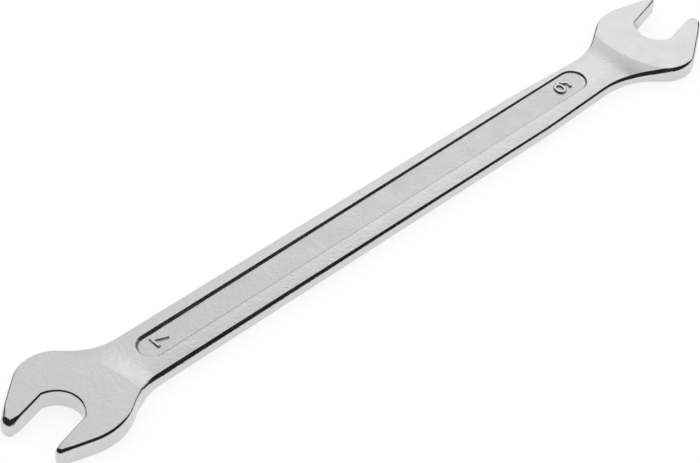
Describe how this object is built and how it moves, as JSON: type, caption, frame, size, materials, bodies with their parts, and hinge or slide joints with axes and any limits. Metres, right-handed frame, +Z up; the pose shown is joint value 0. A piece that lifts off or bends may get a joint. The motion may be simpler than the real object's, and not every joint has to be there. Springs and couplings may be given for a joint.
{
  "type": "open end wrench",
  "caption": "Flat double ended spanner: a slim shank with a sunk panel on each face and an open jaw at each end, leaning 15 degrees, to turn small hex nuts and bolts.",
  "frame": {"origin": "centre of the bounding box's underside: the plane that the thicker 7 mm head lies on", "axes": "+X along the shank from the 7 mm head to the 6 mm head, +Z up through the wrench's thickness, +Y across the shank"},
  "size_m": [0.1302, 0.018, 0.0032],
  "materials": {
    "satin_plated_steel": "satin"
  },
  "bodies": {
    "root": {"wrench_forging": "satin_plated_steel"}
  },
  "joints": []
}
